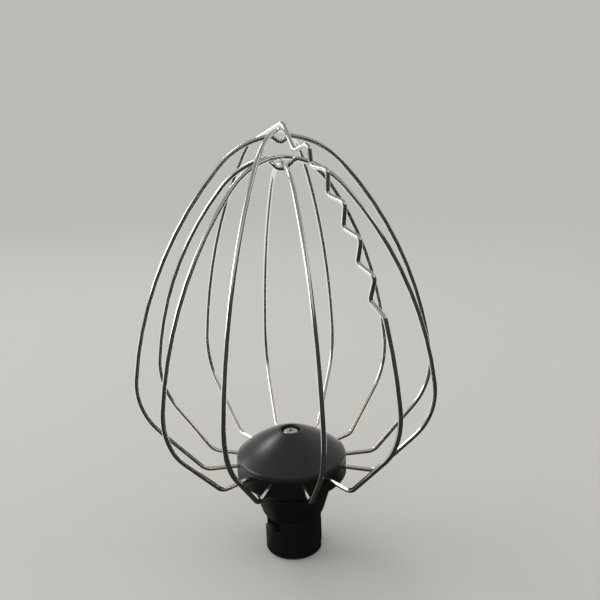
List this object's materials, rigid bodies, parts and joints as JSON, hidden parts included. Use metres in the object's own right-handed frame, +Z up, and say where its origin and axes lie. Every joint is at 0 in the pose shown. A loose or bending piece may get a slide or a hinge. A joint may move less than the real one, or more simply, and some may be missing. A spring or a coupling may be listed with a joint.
{
  "type": "stand mixer wire whisk",
  "caption": "Balloon whisk for a stand mixer: crossing polished steel wire loops, partly waved, sprung from a domed plastic hub on a hollow bayonet drive stem.",
  "frame": {"origin": "centre of the drive stem's open end, on the axis of the whisk", "axes": "+Z up the axis from the stem to the cage's crown; +X and +Y across it, with the bayonet slots' entries on the X axis and the wavy side of the cage between +X and -Y"},
  "size_m": [0.13, 0.129, 0.1946],
  "materials": {
    "hub_black": "fine moulded satin",
    "cap_grey": "fine moulded satin",
    "screw_steel": "bright plated",
    "wire_steel": "polished drawn wire"
  },
  "bodies": {
    "root": {"hub_body": "hub_black", "dome_cap": "cap_grey", "centre_screw": "screw_steel", "outer_loop_wavy": "wire_steel", "outer_loop_plain": "wire_steel", "outer_loop_dipped": "wire_steel", "inner_loop_top": "wire_steel", "inner_loop_plain": "wire_steel", "inner_loop_dipped": "wire_steel"}
  },
  "joints": []
}
